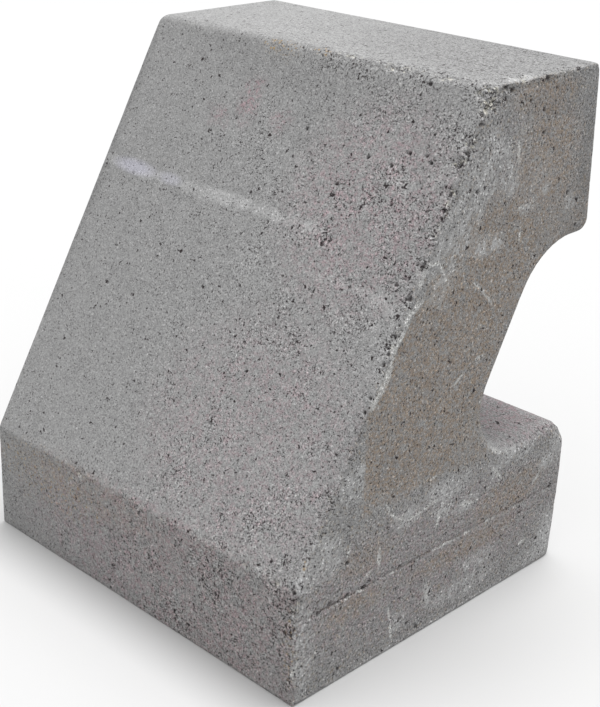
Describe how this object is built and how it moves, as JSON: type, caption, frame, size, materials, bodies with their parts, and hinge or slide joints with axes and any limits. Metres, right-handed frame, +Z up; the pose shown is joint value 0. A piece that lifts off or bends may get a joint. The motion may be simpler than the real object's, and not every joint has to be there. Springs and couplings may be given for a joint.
{
  "type": "concrete kerb stone",
  "caption": "Small concrete kerb stone with an upright face, a steep battered face, a flat top, and a nose that overhangs a notch behind the neck, above a wide foot.",
  "frame": {"origin": "centre of the bounding box's base, in the plane of the bed", "axes": "+Z up, +X along the kerb, -Y out of the front face towards the carriageway"},
  "size_m": [0.2, 0.1796, 0.236],
  "materials": {
    "concrete": "matt, fine-grained and pitted, with pale scuffs"
  },
  "bodies": {
    "root": {"kerb_block": "concrete"}
  },
  "joints": []
}
